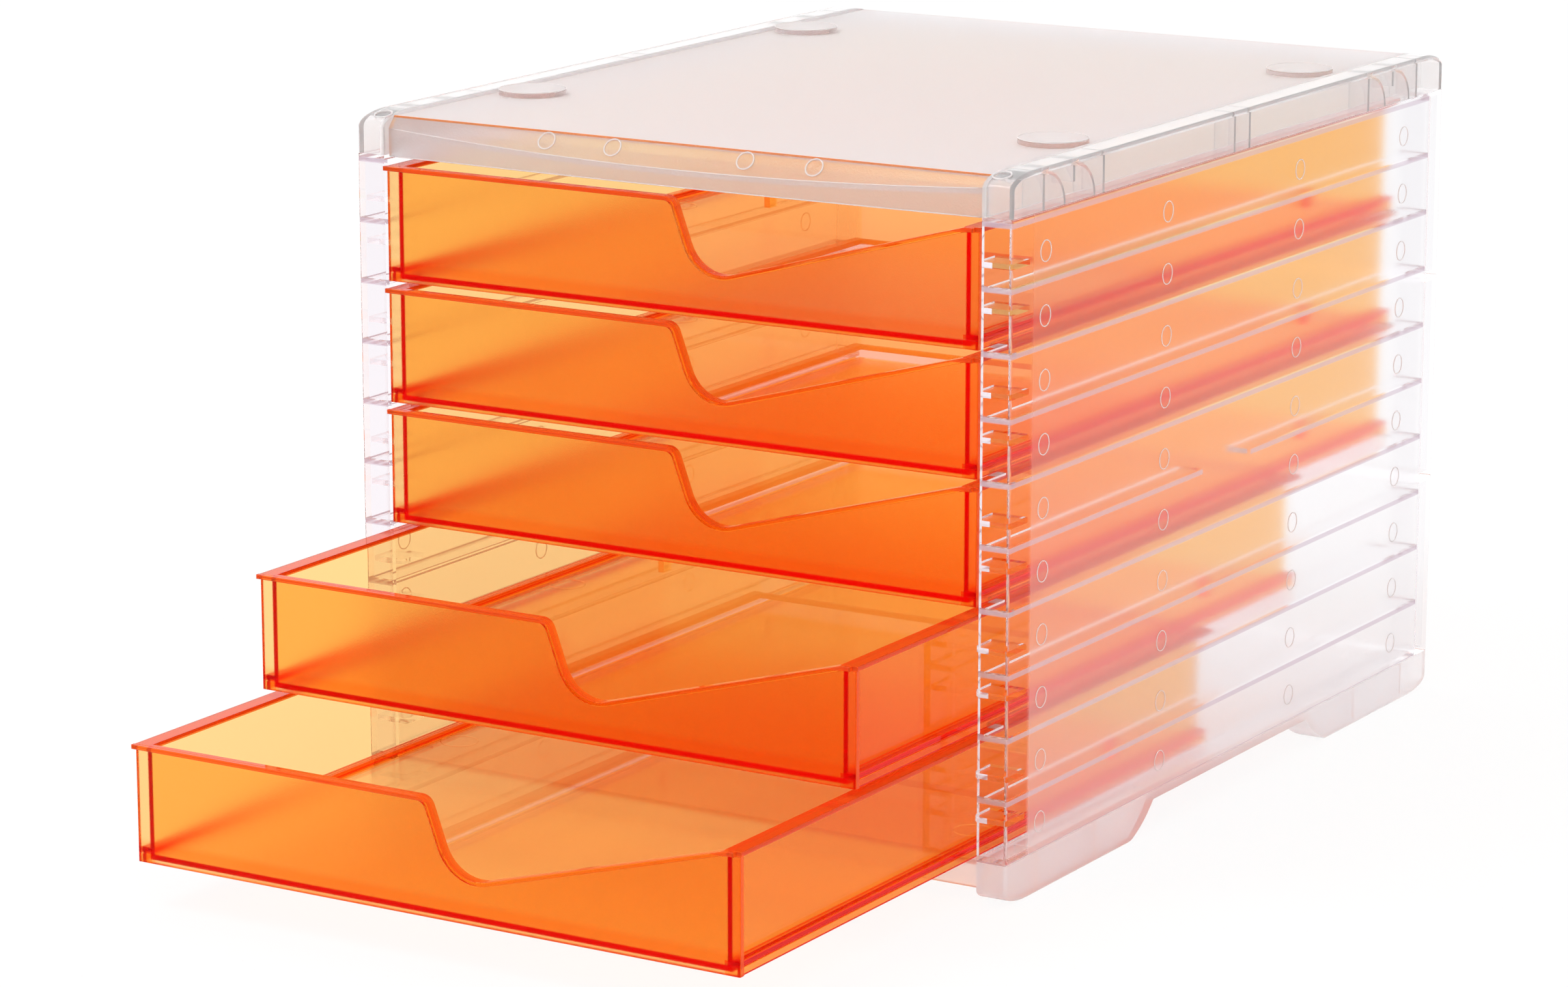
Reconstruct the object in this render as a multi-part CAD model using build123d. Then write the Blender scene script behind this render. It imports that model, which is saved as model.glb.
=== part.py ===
from build123d import *
import os

# A desktop drawer box: five trays that slide in a clip-together clear housing.
# Millimetres. +Z is up, +X is to the right and the trays open towards -Y.
# The origin is the middle of the footprint, on the surface that the feet stand on.

# Housing envelope
cabinet_width = 270.0
cabinet_depth = 345.0
side_thickness = 11.7
base_height = 15.0
lid_height = 14.6
clear_wall = 2.0
seam = 0.15

# Trays: how many, the room between them, and how far the lowest stands over its seat
tray_count = 5
tray_gap = 2.73
tray_lift = 1.1
headroom = 2.25
running_gap = 0.25
side_play = 0.4

# Tray moulding, and the room behind it when it is shut
tray_back_room = 4.0
tray_height = 42.0
front_thickness = 2.3
front_side_gap = 1.05
tray_wall = 1.8
wall_inset = 4.0
floor_thickness = 2.0
floor_lift = 0.8
rim_thickness = 1.6
rim_forward = 1.8
rim_back = 2.0
edge_round = 0.5

# Finger cut-out in the tray front: a steep side, a round bottom and a long ramp
cut_start = 0.4
cut_depth = 29.2
cut_side_run = 10.8
ramp_margin = 4.95
cut_top_round = 5.0
cut_bottom_round = 15.0
ramp_end_round = 8.0

# Runner along each side of a tray, with a groove round its outer face
runner_height = 5.0
runner_wall = 1.6
runner_inset = 0.5
groove_lift = 2.5
groove_height = 0.6
groove_depth = 0.5

# Pull-out stop on the tray wall, and how far the tray may come out
stop_length = 6.0
stop_reach = 2.6
stop_height = 6.0
tray_travel = 240.0

# How far the two lowest trays stand out
second_tray_out = 80.2
lowest_tray_out = 152.6

# Side panel: skin, cross ribs, runner shelves and guide lugs
rib_thickness = 1.8
rib_recess = 1.5
shelf_front = 16.0
shelf_back_gap = 8.0
shelf_reach = 6.0
lug_heights = (13.5, 29.2)
lug_thickness = 2.0
lug_reach = 3.1
lug_length = 12.4
lug_seat_gap = 0.3
lug_round = 2.5
split_rib = 5
split_start = 144.5
split_length = 38.5
panel_edge_round = 0.8

# Back panels: shallow trays stacked behind the side panels
back_depth = 11.0
back_wall = 2.0
lower_back_height = 71.7
middle_back_height = 80.7

# Lid and base rails
rail_corner_run = 16.0
rail_corner_rise = 5.0
rail_inner_wall = 1.7
rail_edge_round = 1.3
rail_rib = 1.5
rail_rib_places = (23.0, 66.0)
rail_short_rib_place = 44.5
rail_short_rib_height = 6.0
rail_middle_rib_offset = 6.0
hook_run = 15.5
hook_wall = 1.2

# Feet: what is left of a base rail beside its arch
foot_length = 90.6
foot_end_run = 19.0
arch_height = 12.0
arch_bulge = 1.4

# Lid plate with its bowed front and rear rails
plate_thickness = 2.2
plate_recess = 1.1
plate_edge = 6.5
bow = 2.6
bow_margin = 0.4
strip_rise_at_end = 4.1
strip_rise_at_middle = 8.2
front_rail_drop = 0.9

# Stacking studs
stud_diameter = 25.0
stud_height = 2.2
stud_side_inset = 13.8
stud_end_inset = 74.9
stud_edge_round = 0.6

# Base plate
base_plate_thickness = 2.2
base_runner_width = 6.0
skirt_setback = 2.5

# One overrun for every cut
overrun = 1.0

# Places that follow from the sizes above
half_width = cabinet_width / 2
inner_x = half_width - side_thickness
front_y = -cabinet_depth / 2
back_y = cabinet_depth / 2
tray_pitch = tray_height + tray_gap
panel_bottom = base_height
panel_top = base_height + tray_count * tray_pitch + headroom
panel_back = back_y - back_depth
plate_half = inner_x - seam
lid_top = panel_top + lid_height
plate_top = lid_top - plate_recess
rim_half = inner_x - side_play
front_half = inner_x - front_side_gap
wall_outer = front_half - wall_inset
wall_inner = wall_outer - tray_wall
runner_outer = front_half - runner_inset
lug_front = front_thickness + lug_seat_gap
lug_back = lug_front + lug_length
tray_length = cabinet_depth - back_depth - tray_back_room
tray_back_wall = tray_length - rim_back
ramp_end = front_half - ramp_margin


def block(low, high):
    """A box between its lowest and highest corners."""
    size = [top - bottom for bottom, top in zip(low, high)]
    return Pos(*low) * Box(*size, align=(Align.MIN, Align.MIN, Align.MIN))


def mirrored(part):
    """The left-hand twin of a right-hand piece."""
    return mirror(part, about=Plane.YZ)


def tray_bottom(level):
    """Height of a tray's underside, with level 0 the lowest tray."""
    return panel_bottom + tray_lift + level * tray_pitch


# Trays
def front_outline():
    """The tray front with its finger cut-out, in X and height over the tray's underside."""
    low = tray_height - cut_depth
    low_x = cut_start + cut_side_run
    corners = [
        (-front_half, 0),
        (front_half, 0),
        (front_half, tray_height),
        (ramp_end, tray_height),
        (low_x, low),
        (cut_start, tray_height),
        (-front_half, tray_height),
    ]
    face = make_face(Polyline(*corners, close=True))
    rounds = [
        ((ramp_end, tray_height), ramp_end_round),
        ((low_x, low), cut_bottom_round),
        ((cut_start, tray_height), cut_top_round),
    ]
    for place, radius in rounds:
        corner = face.vertices().sort_by_distance(place)[0]
        face = fillet(corner, radius)
    return face


def tray_front():
    """Front panel, with the lip that follows its top edge and the cut-out."""
    outline = front_outline()
    band = outline - offset(outline, -rim_thickness, kind=Kind.INTERSECTION)
    bead_width = 2 * (front_half - rim_thickness)
    bead_height = tray_height - rim_thickness
    window = Pos(0, tray_height - bead_height / 2) * Rectangle(bead_width, bead_height)
    bead = extrude(Plane.XZ * (band & window), rim_forward)
    corner_low = (-rim_half, -rim_forward, tray_height - rim_thickness)
    corner = block(corner_low, (-wall_inner, 0, tray_height))
    lip = bead + corner
    lip = fillet(lip.faces().sort_by(Axis.Y)[0].edges(), edge_round)

    panel = extrude(Plane.XZ * outline, -front_thickness)
    uprights = panel.faces().sort_by(Axis.Y)[0].edges().filter_by(Axis.Z)
    panel = fillet(uprights.sort_by(Axis.X)[0::len(uprights) - 1], edge_round)
    return panel + lip


def tray_rim():
    """Flange round the top of the side and back walls."""
    low = tray_height - rim_thickness
    ring_low = (-rim_half, 0, low)
    ring = block(ring_low, (rim_half, tray_length, tray_height))
    ring = fillet(ring.edges().filter_by(Axis.Y), edge_round)
    inside = block(
        (-wall_inner, -overrun, low - overrun),
        (wall_inner, tray_back_wall - tray_wall, tray_height + overrun),
    )
    return ring - inside


def tray_runner(side):
    """Channel along the foot of a side wall: a ledge, and a grooved skirt that rides on the shelf."""
    ledge_x = sorted((side * wall_inner, side * runner_outer))
    skirt_x = sorted((side * (runner_outer - runner_wall), side * runner_outer))
    groove_x = sorted((side * (runner_outer - groove_depth), side * (runner_outer + overrun)))
    ledge_low = runner_height - runner_wall
    ledge = block((ledge_x[0], 0, ledge_low), (ledge_x[1], tray_back_wall, runner_height))
    skirt = block((skirt_x[0], 0, 0), (skirt_x[1], tray_back_wall, runner_height))
    groove_top = groove_lift + groove_height
    groove = block((groove_x[0], front_thickness, groove_lift), (groove_x[1], tray_length, groove_top))
    return (ledge + skirt) - groove


def tray_stop(side):
    """Bump that meets the lower guide lug when the tray is all the way out."""
    near = lug_back + running_gap + tray_travel
    xs = sorted((side * wall_inner, side * (wall_outer + stop_reach)))
    low = lug_heights[0] - stop_height / 2
    return block((xs[0], near, low), (xs[1], near + stop_length, low + stop_height))


def tray():
    """One tray, with its front face at Y 0 and its underside at Z 0."""
    floor = block((-wall_outer, 0, floor_lift), (wall_outer, tray_back_wall, floor_lift + floor_thickness))
    back_low = (-wall_outer, tray_back_wall - tray_wall, floor_lift)
    back = block(back_low, (wall_outer, tray_back_wall, tray_height - rim_thickness))
    pieces = [floor, back, tray_rim()]
    for side in (-1, 1):
        xs = sorted((side * wall_inner, side * wall_outer))
        pieces.append(block((xs[0], 0, floor_lift), (xs[1], tray_back_wall, tray_height - rim_thickness)))
        pieces.append(tray_runner(side))
        pieces.append(tray_stop(side))
    return tray_front() + pieces


# Housing sides
def rib_top(step):
    """Top of a cross rib. Even steps carry a tray, and step 0 is the base plate's runner."""
    return panel_bottom + tray_lift + step * tray_pitch / 2 - running_gap


def guide_lug(height):
    """Flat tongue behind the front flange, with a round front corner."""
    width = half_width - clear_wall - inner_x + lug_reach
    plan = Rectangle(width, lug_length, align=(Align.MIN, Align.MIN))
    tip = plan.vertices().sort_by_distance((0, 0))[0]
    plan = fillet(tip, lug_round)
    place = Pos(inner_x - lug_reach, front_y + lug_front, height - lug_thickness / 2)
    return place * extrude(plan, lug_thickness)


def side_panel():
    """Right-hand side: a shell that is open inwards, cross ribs, shelves and lugs."""
    shell_low = (inner_x, front_y, panel_bottom + seam)
    shell = block(shell_low, (half_width, panel_back - seam, panel_top - seam))
    outer = shell.faces().sort_by(Axis.X)[-1]
    shell = fillet(outer.edges(), panel_edge_round)

    near = front_y + clear_wall
    far = panel_back - clear_wall
    low = panel_bottom + clear_wall
    high = panel_top - clear_wall
    skin_inner = half_width - clear_wall
    recess = block((inner_x - overrun, near, low), (inner_x + rib_recess, far, high))
    ribs = range(1, 2 * tray_count)
    floors = [low] + [rib_top(step) for step in ribs]
    ceilings = [rib_top(step) - rib_thickness for step in ribs] + [high]
    pockets = [
        block((inner_x, near, floor), (skin_inner, far, ceiling))
        for floor, ceiling in zip(floors, ceilings)
    ]
    split_near = front_y + split_start
    split_low = rib_top(split_rib) - rib_thickness - overrun
    split = block(
        (inner_x, split_near, split_low),
        (skin_inner, split_near + split_length, split_low + rib_thickness + 2 * overrun),
    )
    panel = shell - [recess, split] - pockets

    shelves = [
        block(
            (inner_x - shelf_reach, front_y + shelf_front, rib_top(step) - rib_thickness),
            (skin_inner, panel_back - shelf_back_gap, rib_top(step)),
        )
        for step in ribs[1::2]
    ]
    lugs = [
        guide_lug(tray_bottom(level) + height)
        for level in range(tray_count)
        for height in lug_heights
    ]
    return panel + shelves + lugs


# Rails along the lid and the base
def rail_outline(height, inset):
    """Side view of a rail standing on Y, with elliptic ends and a wall left outside the inset."""
    run = rail_corner_run - inset
    rise = rail_corner_rise - inset
    near = front_y + inset
    far = back_y - inset
    top = height - inset
    spring = top - rise
    lines = [
        Line((near, 0), (near, spring)),
        EllipticalCenterArc((near + run, spring), run, rise, 90, arc_size=90),
        Line((near + run, top), (far - run, top)),
        EllipticalCenterArc((far - run, spring), run, rise, 0, arc_size=90),
        Line((far, spring), (far, 0)),
        Line((far, 0), (near, 0)),
    ]
    return Plane.YZ * make_face(lines)


def rail_bays(rib_places):
    """The hollows of a rail between its cross ribs, as distances from the front."""
    edges = [0.0]
    for place in rib_places:
        edges += [place - rail_rib / 2, place + rail_rib / 2]
    edges.append(cabinet_depth)
    return list(zip(edges[0::2], edges[1::2]))


def rail_body(height):
    """Right-hand rail as a full solid on its seat at Z 0, growing up."""
    body = Pos(inner_x, 0, 0) * extrude(rail_outline(height, 0), side_thickness)
    outer = body.faces().sort_by(Axis.X)[-1]
    seat_edge = outer.edges().sort_by(Axis.Z)[0]
    rounded = [edge for edge in outer.edges() if edge.center() != seat_edge.center()]
    return fillet(rounded, rail_edge_round)


def rail_hollow(height, bays):
    """The space inside a rail, open at its seat and parted by cross ribs."""
    hollow_width = side_thickness - clear_wall - rail_inner_wall
    hollow = Pos(inner_x + rail_inner_wall, 0, 0) * extrude(rail_outline(height, clear_wall), hollow_width)
    slots = [
        block((inner_x, front_y + near, -overrun), (half_width, front_y + far, height))
        for near, far in bays
    ]
    return hollow & Part(slots)


def short_rib(place, height):
    """Half-height rib that stiffens the long bay of a rail, hanging from its closed side."""
    low = (inner_x + rail_inner_wall, front_y + place - rail_rib / 2, height - clear_wall - rail_short_rib_height)
    high = (half_width - clear_wall, front_y + place + rail_rib / 2, height - clear_wall)
    return block(low, high)


def hook(place, height):
    """Curved wall behind a rib: a quarter of an ellipse from the closed side down to the seat."""
    rise = height - clear_wall + hook_wall / 2
    outer = Ellipse(hook_run, rise)
    inner = Ellipse(hook_run - hook_wall, rise - hook_wall)
    quarter = Rectangle(hook_run, rise, align=(Align.MIN, Align.MIN))
    profile = Plane.YZ * (Pos(front_y + place, 0) * ((outer - inner) & quarter))
    hollow_width = side_thickness - clear_wall - rail_inner_wall
    return Pos(inner_x + rail_inner_wall, 0, 0) * extrude(profile, hollow_width)


def end_ribs():
    """Rib places near both ends of a rail, as distances from the front."""
    return list(rail_rib_places) + [cabinet_depth - place for place in reversed(rail_rib_places)]


def lid_rail():
    """Right-hand rail of the lid."""
    middle = cabinet_depth / 2
    middle_ribs = [middle - rail_middle_rib_offset, middle + rail_middle_rib_offset]
    ribs = sorted(end_ribs() + middle_ribs)
    shorts = [rail_short_rib_place, cabinet_depth - rail_short_rib_place]
    hooked = [rail_rib_places[0], shorts[0], cabinet_depth - rail_rib_places[1], shorts[1]]
    body = rail_body(lid_height) - rail_hollow(lid_height, rail_bays(ribs))
    body += [short_rib(place, lid_height) for place in shorts]
    body += [hook(place, lid_height) for place in hooked]
    return Pos(0, 0, panel_top) * body


def arch(grow):
    """Space between the feet of a base rail, under its seat, made larger all round by grow."""
    near = front_y + foot_length - grow * foot_end_run / arch_height
    far = -near
    top = arch_height + grow
    outline = [
        Line((near, -overrun), (near, 0)),
        SagittaArc((near, 0), (near + foot_end_run, top), -arch_bulge),
        Line((near + foot_end_run, top), (far - foot_end_run, top)),
        SagittaArc((far - foot_end_run, top), (far, 0), -arch_bulge),
        Line((far, 0), (far, -overrun)),
        Line((far, -overrun), (near, -overrun)),
    ]
    return Pos(inner_x, 0, 0) * extrude(Plane.YZ * make_face(outline), side_thickness)


def base_rail():
    """Right-hand rail of the base: the lid's rail upside down, cut into two feet."""
    foot_bay_end = foot_length + foot_end_run
    bays = rail_bays(end_ribs())
    near_bay = (bays[2][0], foot_bay_end)
    far_bay = (cabinet_depth - foot_bay_end, bays[2][1])
    hollow = rail_hollow(base_height, bays[:2] + [near_bay, far_bay] + bays[3:])
    upside_down = Pos(0, 0, base_height)
    body = upside_down * mirror(rail_body(base_height), about=Plane.XY)
    hollow = upside_down * mirror(hollow, about=Plane.XY)
    return body - (hollow - arch(clear_wall)) - arch(0)


# Lid
def lid_section(rail_front, strip_rise, x):
    """The lid cut across at x: front rail, sloped strip, plate, and the rear the same way round."""
    front_low = panel_top - front_rail_drop
    edge_low = plate_top - plate_thickness
    shoulder = plate_top - strip_rise
    near = front_y + rail_front
    far = back_y - rail_front
    drop = plate_thickness
    points = [
        (near, front_low),
        (near, shoulder),
        (front_y + plate_edge, plate_top),
        (back_y - plate_edge, plate_top),
        (far, shoulder),
        (far, panel_top),
        (far - clear_wall, panel_top),
        (far - clear_wall, shoulder - drop),
        (back_y - plate_edge - clear_wall, edge_low),
        (front_y + plate_edge + clear_wall, edge_low),
        (near + clear_wall, shoulder - drop),
        (near + clear_wall, front_low),
    ]
    return Pos(x, 0, 0) * (Plane.YZ * make_face(Polyline(*points, close=True)))


def lid_plate():
    """Top plate with its bowed rails, and four studs that a second box nests on."""
    at_end = (bow_margin + bow, strip_rise_at_end)
    at_middle = (bow_margin, strip_rise_at_middle)
    sections = [
        lid_section(*at_end, -plate_half),
        lid_section(*at_middle, 0),
        lid_section(*at_end, plate_half),
    ]
    plate = loft(sections)
    radius = stud_diameter / 2
    stud = Cylinder(radius, stud_height + plate_thickness / 2, align=(Align.CENTER, Align.CENTER, Align.MIN))
    stud = fillet(stud.edges().sort_by(Axis.Z)[-1], stud_edge_round)
    stud_x = inner_x - stud_side_inset
    stud_y = back_y - stud_end_inset
    studs = [
        Pos(x, y, plate_top - plate_thickness / 2) * stud
        for x in (-stud_x, stud_x)
        for y in (-stud_y, stud_y)
    ]
    return plate + studs


# Base
def base_plate():
    """Plate between the base rails, with skirts front and rear and runners for the lowest tray."""
    low = base_height - base_plate_thickness
    near = front_y + skirt_setback
    far = back_y - skirt_setback
    plate = block((-plate_half, near, low), (plate_half, far, base_height))
    front_skirt = block((-plate_half, near, rail_corner_rise), (plate_half, near + clear_wall, base_height))
    rear_skirt = block((-plate_half, far - clear_wall, rail_corner_rise), (plate_half, far, base_height))
    runners = []
    for side in (-1, 1):
        xs = sorted((side * plate_half, side * (plate_half - base_runner_width)))
        near_end = front_y + shelf_front
        far_end = panel_back - shelf_back_gap
        runners.append(block((xs[0], near_end, low), (xs[1], far_end, rib_top(0))))
    return plate + [front_skirt, rear_skirt] + runners


# Back
def back_panel(low, high):
    """One back panel: a shallow tray, open towards the trays."""
    shell = block((-half_width, panel_back, low), (half_width, back_y, high))
    outer = shell.faces().sort_by(Axis.Y)[-1]
    shell = fillet(outer.edges(), panel_edge_round)
    hollow = block(
        (-half_width + back_wall, panel_back - overrun, low + back_wall),
        (half_width - back_wall, back_y - back_wall, high - back_wall),
    )
    return shell - hollow


def back_panels():
    """The three back panels from the bottom up, by name."""
    lower_top = panel_bottom + lower_back_height
    middle_top = lower_top + middle_back_height
    return {
        "lower_back_panel": back_panel(panel_bottom + seam, lower_top),
        "middle_back_panel": back_panel(lower_top + seam, middle_top),
        "upper_back_panel": back_panel(middle_top + seam, panel_top - seam),
    }


def nodes():
    """Every piece by name, in its place."""
    right_pieces = {"side_panel": side_panel(), "lid_rail": lid_rail(), "base_rail": base_rail()}
    pieces = {"lid_plate": lid_plate(), "base_plate": base_plate()}
    pieces.update(back_panels())
    for name, piece in right_pieces.items():
        pieces["right_" + name] = piece
        pieces["left_" + name] = mirrored(piece)
    moulding = tray()
    pulled = {0: lowest_tray_out, 1: second_tray_out}
    for level in reversed(range(tray_count)):
        place = Pos(0, front_y - pulled.get(level, 0), tray_bottom(level))
        pieces[f"drawer_{tray_count - level}"] = place * moulding
    return pieces


os.makedirs("parts", exist_ok=True)
for name, piece in nodes().items():
    export_step(piece, f"parts/{name}.step")
    box = piece.bounding_box()
    print(name, len(piece.solids()), "solid", round(piece.volume / 1000, 1), "cm3", box.min, box.max)
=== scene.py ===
# %% [markdown]
# # A desk drawer box in orange and clear plastic
#
# The real box has five orange trays that slide in a housing of clear plastic. Light passes through both
# plastics, so nearly all that the eye reads here is light that has crossed walls: pale where it crossed
# one, deep orange where it crossed several, and red where it ran along a wall inside it. The lesson is
# therefore about glass-like shaders and the volume behind them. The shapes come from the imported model.

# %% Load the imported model
import math

import bmesh
import bpy
import numpy as np
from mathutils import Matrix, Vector


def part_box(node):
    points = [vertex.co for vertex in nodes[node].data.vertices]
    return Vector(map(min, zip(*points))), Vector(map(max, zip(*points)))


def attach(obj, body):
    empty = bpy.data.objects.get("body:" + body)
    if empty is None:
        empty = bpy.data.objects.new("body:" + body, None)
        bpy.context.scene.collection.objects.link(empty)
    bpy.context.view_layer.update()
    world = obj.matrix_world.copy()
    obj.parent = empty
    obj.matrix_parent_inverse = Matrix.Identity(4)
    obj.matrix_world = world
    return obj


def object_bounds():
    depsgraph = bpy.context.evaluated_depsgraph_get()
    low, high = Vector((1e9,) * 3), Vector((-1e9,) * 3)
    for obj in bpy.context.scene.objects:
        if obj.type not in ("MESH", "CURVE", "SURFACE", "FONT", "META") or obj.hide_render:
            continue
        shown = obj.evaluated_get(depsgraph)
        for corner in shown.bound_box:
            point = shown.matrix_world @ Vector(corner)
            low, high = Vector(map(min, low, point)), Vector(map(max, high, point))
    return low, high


mm = 0.001
scene = bpy.context.scene
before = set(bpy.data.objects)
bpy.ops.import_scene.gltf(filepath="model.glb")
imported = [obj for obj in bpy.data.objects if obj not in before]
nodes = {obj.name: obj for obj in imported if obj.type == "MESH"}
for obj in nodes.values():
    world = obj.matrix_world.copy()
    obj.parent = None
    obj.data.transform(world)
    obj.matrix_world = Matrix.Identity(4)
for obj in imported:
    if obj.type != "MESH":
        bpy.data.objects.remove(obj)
cad_low, cad_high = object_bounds()
cad_size_mm = [round(side / mm, 1) for side in cad_high - cad_low]
print(len(nodes), "nodes in a box of", cad_size_mm, "mm")

# %% [markdown]
# ## Places that the pieces share
#
# Every place below is read from the model's own boxes, so nothing has to be fitted by eye. The trays are
# listed from the top one down, and the housing's front face, side faces and row pitch follow from its
# panels.

# %% Read the shared places
tray_names = sorted(name for name in nodes if name.startswith("drawer_"))
tray_boxes = {name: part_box(name) for name in tray_names}
panel_low, panel_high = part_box("right_side_panel")
plate_low, plate_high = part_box("lid_plate")
front_y = panel_low.y
half_width = panel_high.x
row_pitch = (tray_boxes["drawer_1"][0].z - tray_boxes["drawer_2"][0].z) / 2
lowest_tray = tray_boxes["drawer_5"][0].z
print("front at", round(front_y, 4), "rows every", round(row_pitch / mm, 2), "mm")

# %% [markdown]
# ## Small helpers for shader nodes
#
# A material is a graph of nodes. A few helpers keep the graphs short: one adds a node and sets its
# properties, and one adds a sum, where each term is a number or the output of another node. Two more give
# the place of a point and the direction of a face, which is what nearly every mask below is made from.

# %% Node helpers
def add_node(tree, kind, **settings):
    """Add one node to a graph and set its properties by name."""
    made = tree.nodes.new(kind)
    for name, value in settings.items():
        setattr(made, name, value)
    return made


def add_sum(tree, operation, *terms):
    """Add one Math node. A term is a number, or an output that is linked to it."""
    made = add_node(tree, "ShaderNodeMath", operation=operation)
    for socket, term in zip(made.inputs, terms):
        if isinstance(term, (int, float)):
            socket.default_value = term
        else:
            tree.links.new(term, socket)
    return made.outputs[0]


def split_vector(tree, vector):
    """The X, Y and Z outputs of a vector."""
    parts = add_node(tree, "ShaderNodeSeparateXYZ")
    tree.links.new(vector, parts.inputs[0])
    return parts.outputs


def place_outputs(tree):
    """A point's Object coordinates in metres, as a vector and as X, Y and Z."""
    vector = add_node(tree, "ShaderNodeTexCoord").outputs["Object"]
    return vector, split_vector(tree, vector)


def face_direction(tree):
    """The X, Y and Z of the direction that a face looks in."""
    return split_vector(tree, add_node(tree, "ShaderNodeNewGeometry").outputs["True Normal"])


print("node helpers ready")

# %% [markdown]
# ## Masks, tints and grain
#
# A mask is a number from 0 to 1 that says where a finish applies. It could be painted by hand, but here
# it comes from the place itself: a band about a height, or all that lies near a plane. A tint mixes one
# colour in by a mask, and a grain is a very fine bump, such as spark erosion leaves on a satin mould. A
# Mix node lists its sockets for numbers, vectors and colours in turn under the same names, so the colour
# ones are picked by number.

# %% Mask helpers
mix_start_socket = 6
mix_end_socket = 7
mix_result_socket = 2
grain_detail = 1


def soft_band(tree, place, middle, reach, fade):
    """A mask that is 1 within reach of the middle, and falls smoothly to 0 over the fade."""
    distance = add_sum(tree, "ABSOLUTE", add_sum(tree, "SUBTRACT", place, middle))
    fall = add_node(tree, "ShaderNodeMapRange", interpolation_type="SMOOTHSTEP")
    fall.inputs["From Min"].default_value = reach
    fall.inputs["From Max"].default_value = reach + fade
    fall.inputs["To Min"].default_value = 1
    fall.inputs["To Max"].default_value = 0
    tree.links.new(distance, fall.inputs["Value"])
    return fall.outputs[0]


def tint_by(tree, start, mask, colour):
    """Mix a colour in by a mask. The start is a colour, or the output of another mix."""
    mix = add_node(tree, "ShaderNodeMix", data_type="RGBA")
    tree.links.new(mask, mix.inputs["Factor"])
    if isinstance(start, tuple):
        mix.inputs[mix_start_socket].default_value = (*start, 1)
    else:
        tree.links.new(start, mix.inputs[mix_start_socket])
    mix.inputs[mix_end_socket].default_value = (*colour, 1)
    return mix.outputs[mix_result_socket]


def add_grain(tree, shader, place, size, height, strength):
    """Fine bump on Object coordinates: noise whose grains are about one size apart."""
    noise = add_node(tree, "ShaderNodeTexNoise")
    noise.inputs["Scale"].default_value = 1 / size
    noise.inputs["Detail"].default_value = grain_detail
    tree.links.new(place, noise.inputs["Vector"])
    bump = add_node(tree, "ShaderNodeBump")
    bump.inputs["Distance"].default_value = height
    tree.links.new(noise.outputs["Fac"], bump.inputs["Height"])
    if isinstance(strength, (int, float)):
        bump.inputs["Strength"].default_value = strength
    else:
        tree.links.new(strength, bump.inputs["Strength"])
    tree.links.new(bump.outputs[0], shader.inputs["Normal"])


print("mask helpers ready")

# %% [markdown]
# ## See-through plastic
#
# Tinted plastic could be a coloured surface, but then a thin wall and a thick one would look alike. Here
# the faces mostly bend and mirror light, and a Volume Absorption inside takes light away along each ray's
# way through the wall. Two millimetres look pale, several walls look deep, and light that runs the length
# of a wall comes out red at its edge, all from one material.
#
# Such plastic has an index of refraction of about 1.5. Where a view crosses many walls, the materials below
# bend light less than that, because every face mirrors a little white over what lies behind it.

# %% The plastic that all the materials start from
plastic_shine = 0.25
polished = 0.0
usual_wall = 2 * mm


def tint_over(thickness, passed):
    """Absorption colour and density for a wall that passes these shares of red, green and blue.
    A volume of density d and colour c takes light away at the rate d times one minus c."""
    rates = -np.log(np.array(passed)) / thickness
    density = float(rates.max())
    colour = [float(1 - rate / density) for rate in rates]
    return colour, density


def new_plastic(name, passed, face_tint, roughness, bend):
    """A glass-like surface over a volume that passes these shares of the light over a usual wall."""
    material = bpy.data.materials.new(name)
    material.use_nodes = True
    tree = material.node_tree
    shader = tree.nodes["Principled BSDF"]
    shader.inputs["Base Color"].default_value = (*face_tint, 1)
    shader.inputs["Transmission Weight"].default_value = 1
    shader.inputs["IOR"].default_value = bend
    shader.inputs["Specular Tint"].default_value = (plastic_shine, plastic_shine, plastic_shine, 1)
    shader.inputs["Roughness"].default_value = roughness
    volume = add_node(tree, "ShaderNodeVolumeAbsorption")
    colour, density = tint_over(usual_wall, passed)
    volume.inputs["Color"].default_value = (*colour, 1)
    volume.inputs["Density"].default_value = density
    tree.links.new(volume.outputs[0], tree.nodes["Material Output"].inputs["Volume"])
    return material, tree, shader


def roughen(tree, shader, mask, roughness):
    """Roughness that goes from polished to the given one by a mask."""
    level = add_sum(tree, "MULTIPLY_ADD", mask, roughness - polished, polished)
    tree.links.new(level, shader.inputs["Roughness"])


print("plastic ready")

# %% [markdown]
# ## Orange trays: where each finish lies
#
# A tray is polished, except for the outside of the front panel, which is satin, and the underside of the
# floor, which is faintly so. Light that has run along a wall leaves it red at the rim, round the finger
# cut-out and along the runner's ledge. Following such light takes very many bounces, so that red, and a
# deeper orange on the runner's skirt, is painted light: a tint on those faces. The front panel also gets
# a painted shade just above the floor. The masks come first, and all are heights and depths on the tray's
# own box.

# %% Tray masks
face_reach = 0.4 * mm
lip_reach = 1.8 * mm
panel_depth = 2.4 * mm
rim_depth = 1.7 * mm
floor_low = 0.8 * mm
floor_high = 2.8 * mm
wall_start = 116.35 * mm
edge_turn = 0.6
tray_fade = 0.3 * mm
ledge_middle = 4.2 * mm
ledge_reach = 0.7 * mm
skirt_middle = 1.4 * mm
skirt_reach = 1.5 * mm
# Painted shade: a darker orange band on the front panel, just above the floor.
painted_shade_middle = 5.5 * mm
painted_shade_reach = 0.5 * mm
painted_shade_fade = 3.5 * mm


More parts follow.
